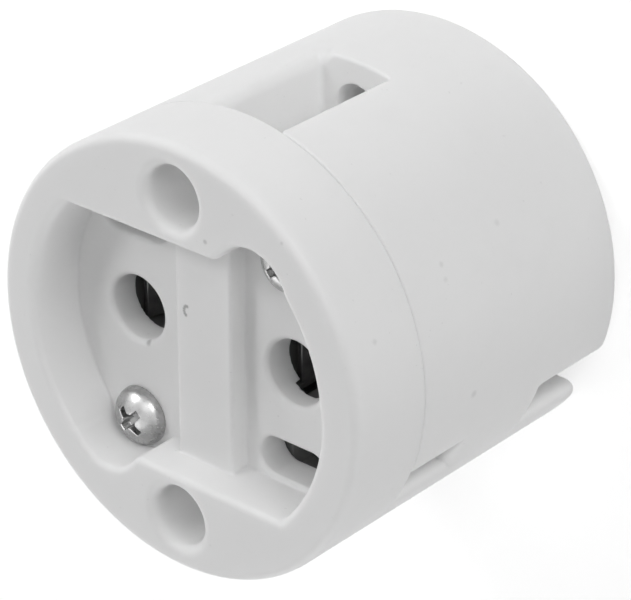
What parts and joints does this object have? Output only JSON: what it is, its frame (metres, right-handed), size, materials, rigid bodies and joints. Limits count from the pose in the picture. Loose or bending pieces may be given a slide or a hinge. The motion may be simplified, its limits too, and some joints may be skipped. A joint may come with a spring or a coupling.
{
  "type": "lamp socket",
  "caption": "Round white ceramic lamp socket: flat-sided lamp recess with pin holes in a screwed front plate, side nut pockets, and spring contacts with screw terminals inside.",
  "frame": {"origin": "centre of the rear face", "axes": "+Z out of the lamp mouth, X through the pin holes, Y through the fixing holes"},
  "size_m": [0.027, 0.027, 0.0238],
  "materials": {
    "plate_ceramic": "matte fired",
    "housing_ceramic": "matte fired",
    "contact_strip": "nickel-plated strip",
    "spring_steel": "satin",
    "terminal_steel": "plated",
    "plated_screw": "bright plated"
  },
  "bodies": {
    "root": {"front_plate": "plate_ceramic", "rear_housing": "housing_ceramic", "right_pin_contact": "contact_strip", "left_pin_contact": "contact_strip", "right_contact_spring": "spring_steel", "left_contact_spring": "spring_steel", "terminal_screws": "terminal_steel", "wire_clamp_washers": "terminal_steel", "assembly_screws": "plated_screw", "assembly_nuts": "plated_screw"}
  },
  "joints": []
}
